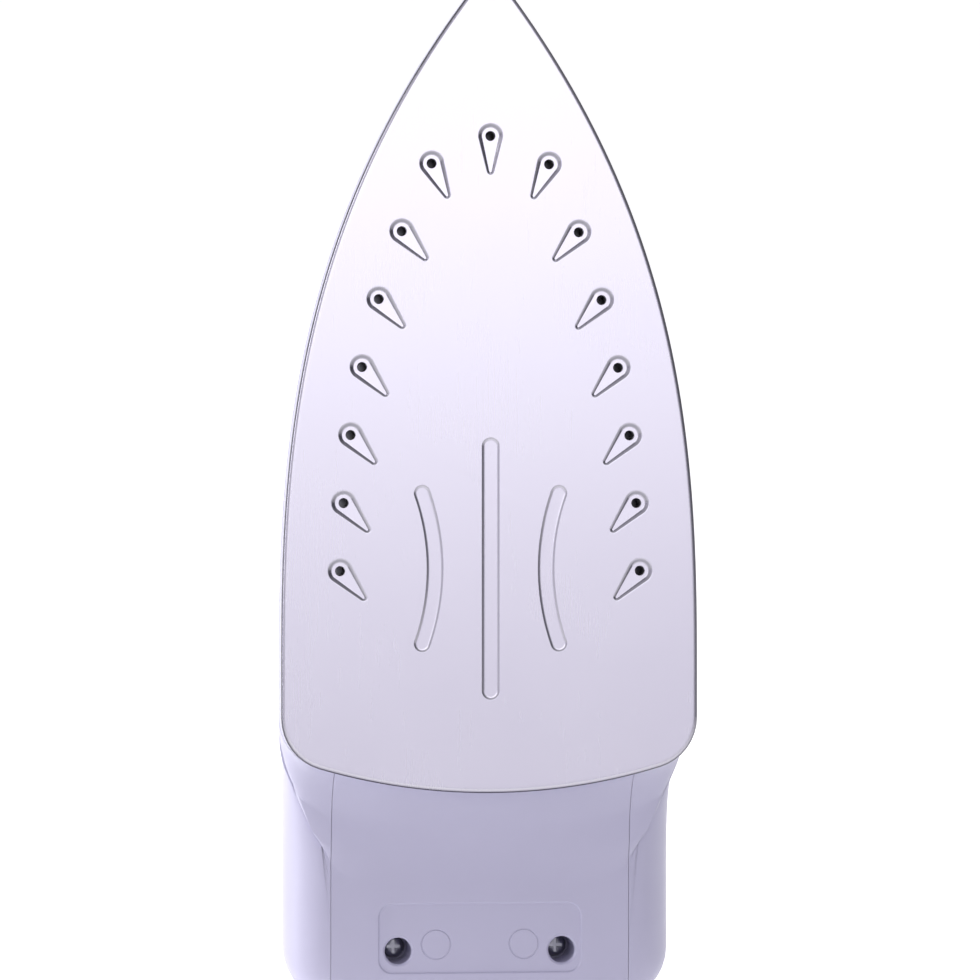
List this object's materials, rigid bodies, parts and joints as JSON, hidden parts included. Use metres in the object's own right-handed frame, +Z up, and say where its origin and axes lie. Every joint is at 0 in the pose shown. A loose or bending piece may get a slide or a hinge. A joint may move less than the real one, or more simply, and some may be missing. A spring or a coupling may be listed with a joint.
{
  "type": "steam iron",
  "caption": "Steam iron standing on its heel rest, with a vented steel sole plate, water tank, temperature dial, steam selector, pump buttons and a swivelling cord gland.",
  "frame": {"origin": "middle of the flat heel rest, on the surface that the iron stands on", "axes": "+Z up, from the heel rest towards the sole's tip; -Y out of the sole plate's working face; +X to the right as seen from in front of the sole"},
  "size_m": [0.1154, 0.1632, 0.2883],
  "materials": {
    "steel": "satin polished",
    "aluminium": "as cast",
    "brass": "drawn",
    "shell": "satin, pale lilac",
    "grip": "fine grained, dark grey-lilac",
    "tank": "clear tinted",
    "silicone": "moulded silicone",
    "ceramic": "unglazed",
    "lens": "clear red",
    "lead": "smooth"
  },
  "bodies": {
    "iron": {"sole_plate": "steel", "heater_casting": "aluminium", "heating_element": "aluminium", "chamber_seal": "silicone", "chamber_lid": "steel", "thermostat": "ceramic", "thermal_fuse": "brass", "fuse_clip": "steel", "skirt": "shell", "sole_screw_nose": "steel", "sole_screw_right": "steel", "sole_screw_left": "steel", "body_shell": "shell", "rear_cover": "shell", "cover_screw_left": "steel", "cover_screw_right": "steel", "water_tank": "tank", "tank_floor": "tank", "valve_seat": "silicone", "terminal_block": "ceramic", "lead_live": "lead", "lead_neutral": "lead", "lead_fuse": "lead", "self_clean_spring": "steel", "handle_lower": "shell", "handle_upper": "shell", "handle_screw_left": "steel", "handle_screw_right": "steel", "grip_insert": "grip", "pilot_lens": "lens", "pilot_lamp": "ceramic", "spray_pump": "tank", "steam_pump": "tank", "spray_spring": "steel", "steam_spring": "steel", "spray_nozzle": "grip", "spray_hose": "silicone", "steam_hose": "silicone", "hinge_pin": "steel"},
    "dial": {"temperature_dial": "grip", "dial_shaft": "brass"},
    "selector": {"steam_selector": "grip"},
    "needle": {"steam_needle": "brass"},
    "spray": {"spray_button": "grip", "spray_piston": "silicone"},
    "steam": {"steam_button": "grip", "steam_piston": "silicone"},
    "self_clean": {"self_clean_button": "grip"},
    "filler": {"filler_cap": "shell", "filler_seal": "silicone"},
    "gland": {"cord_gland": "grip"}
  },
  "joints": [
    {"name": "dial_turn", "type": "hinge", "parent": "iron", "child": "dial", "pos_m": [0, 0.04, 0.12392], "axis": [0, 0.9863, -0.165], "range_deg": [0, 270]},
    {"name": "selector_turn", "type": "hinge", "parent": "iron", "child": "selector", "pos_m": [0, 0.12265, 0.20337], "axis": [0, 0.9863, -0.165], "range_deg": [-35, 35]},
    {"name": "needle_lift", "type": "slide", "parent": "iron", "child": "needle", "axis": [0, 0.9863, -0.165], "range_m": [-0.0016, 0.0016]},
    {"name": "spray_press", "type": "slide", "parent": "iron", "child": "spray", "axis": [0, -0.9863, 0.165], "range_m": [0, 0.004], "stiffness_N_per_m": 300, "springref_m": -0.003, "deforming": ["spray_spring"]},
    {"name": "steam_press", "type": "slide", "parent": "iron", "child": "steam", "axis": [0, -0.9863, 0.165], "range_m": [0, 0.004], "stiffness_N_per_m": 300, "springref_m": -0.003, "deforming": ["steam_spring"]},
    {"name": "self_clean_press", "type": "slide", "parent": "iron", "child": "self_clean", "axis": [0, -0.9863, 0.165], "range_m": [0, 0.0025], "stiffness_N_per_m": 300, "springref_m": -0.003, "deforming": ["self_clean_spring"]},
    {"name": "filler_open", "type": "hinge", "parent": "iron", "child": "filler", "pos_m": [0, 0.05491, 0.24413], "axis": [-1, 0, 0], "range_deg": [0, 105]},
    {"name": "gland_swing", "type": "hinge", "parent": "iron", "child": "gland", "pos_m": [0, 0.0807, 0.0218], "axis": [-1, 0, 0], "range_deg": [-20, 20]}
  ],
  "couplings": [
    {"joint": "needle_lift", "follows": "selector_turn", "m_per_rad": 0.0025}
  ]
}
